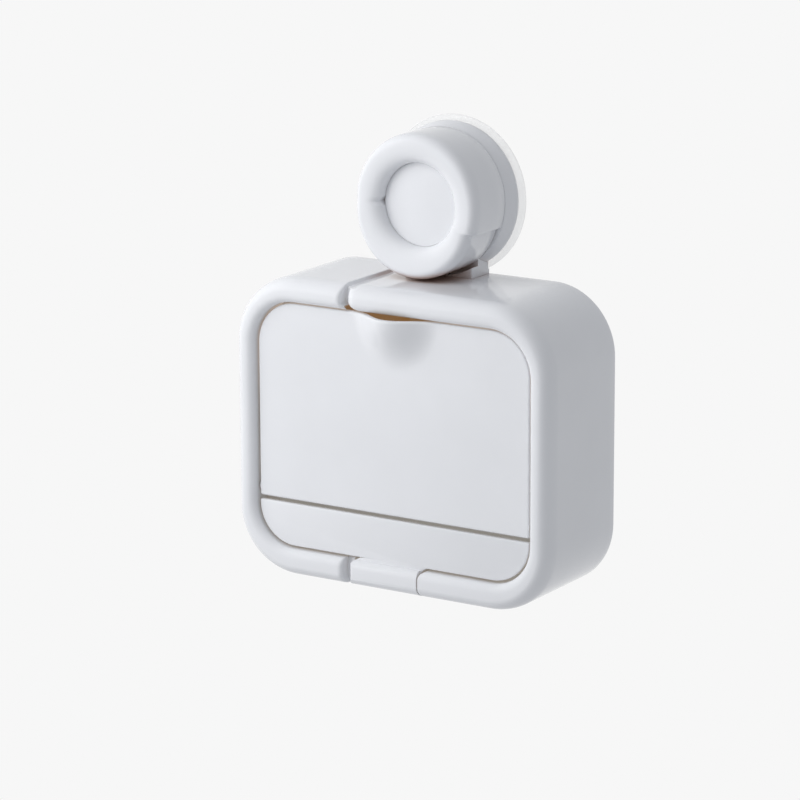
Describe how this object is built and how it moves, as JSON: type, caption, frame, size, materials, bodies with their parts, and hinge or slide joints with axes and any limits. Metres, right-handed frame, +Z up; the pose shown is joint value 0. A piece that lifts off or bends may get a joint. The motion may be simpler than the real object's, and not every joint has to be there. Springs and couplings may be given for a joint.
{
  "type": "wall-mounted soap box",
  "caption": "Wall-mounted soap box with a front flap, a slotted soap rack and a slide-out drip drawer, hung from a twist-lock suction cup on a neck.",
  "frame": {"origin": "middle of the suction pad's rim plane, where it sits on the wall", "axes": "+Z up along the length from box to suction cup; +Y into the wall, square to the pad's rim; +X to the right of someone who faces the wall"},
  "size_m": [0.125, 0.0482, 0.1585],
  "materials": {
    "gloss_white": "glossy moulded white",
    "inner_white": "satin moulded white",
    "clear": "clear soft vinyl",
    "steel": "zinc plated",
    "magnet": "nickel plated",
    "brass": "plain turned"
  },
  "bodies": {
    "box": {"housing": "gloss_white", "back_cover": "inner_white", "mount_bracket": "gloss_white", "suction_pad": "clear", "thrust_washer": "steel", "soap_rack": "inner_white", "frame_magnet_left": "magnet", "frame_magnet_right": "magnet", "cover_screw_1": "steel", "cover_screw_2": "steel", "cover_screw_3": "steel", "cover_screw_4": "steel", "bracket_screw_1": "steel", "bracket_screw_2": "steel"},
    "flap": {"flap_door": "gloss_white", "flap_magnet_left": "magnet", "flap_magnet_right": "magnet", "hinge_pin_left": "steel", "hinge_pin_right": "steel"},
    "drawer": {"drip_drawer": "gloss_white"},
    "knob": {"turn_knob": "gloss_white", "knob_cap": "gloss_white", "knob_nut": "brass"},
    "stud": {"pull_stud": "steel"}
  },
  "joints": [
    {"name": "door_hinge", "type": "hinge", "parent": "box", "child": "flap", "pos_m": [0, -0.0397, -0.10066], "axis": [1, 0, 0], "range_deg": [0, 90]},
    {"name": "drawer_slide", "type": "slide", "parent": "box", "child": "drawer", "axis": [0, -1, 0], "range_m": [0, 0.034]},
    {"name": "knob_turn", "type": "hinge", "parent": "box", "child": "knob", "pos_m": [0, 0, 0], "axis": [0, -1, 0], "range_deg": [0, 180]},
    {"name": "stud_lift", "type": "slide", "parent": "box", "child": "stud", "axis": [0, 1, 0], "range_m": [0, 0.003], "deforming": ["suction_pad"]}
  ],
  "couplings": [
    {"joint": "stud_lift", "follows": "knob_turn", "m_per_rad": 0.00095}
  ]
}
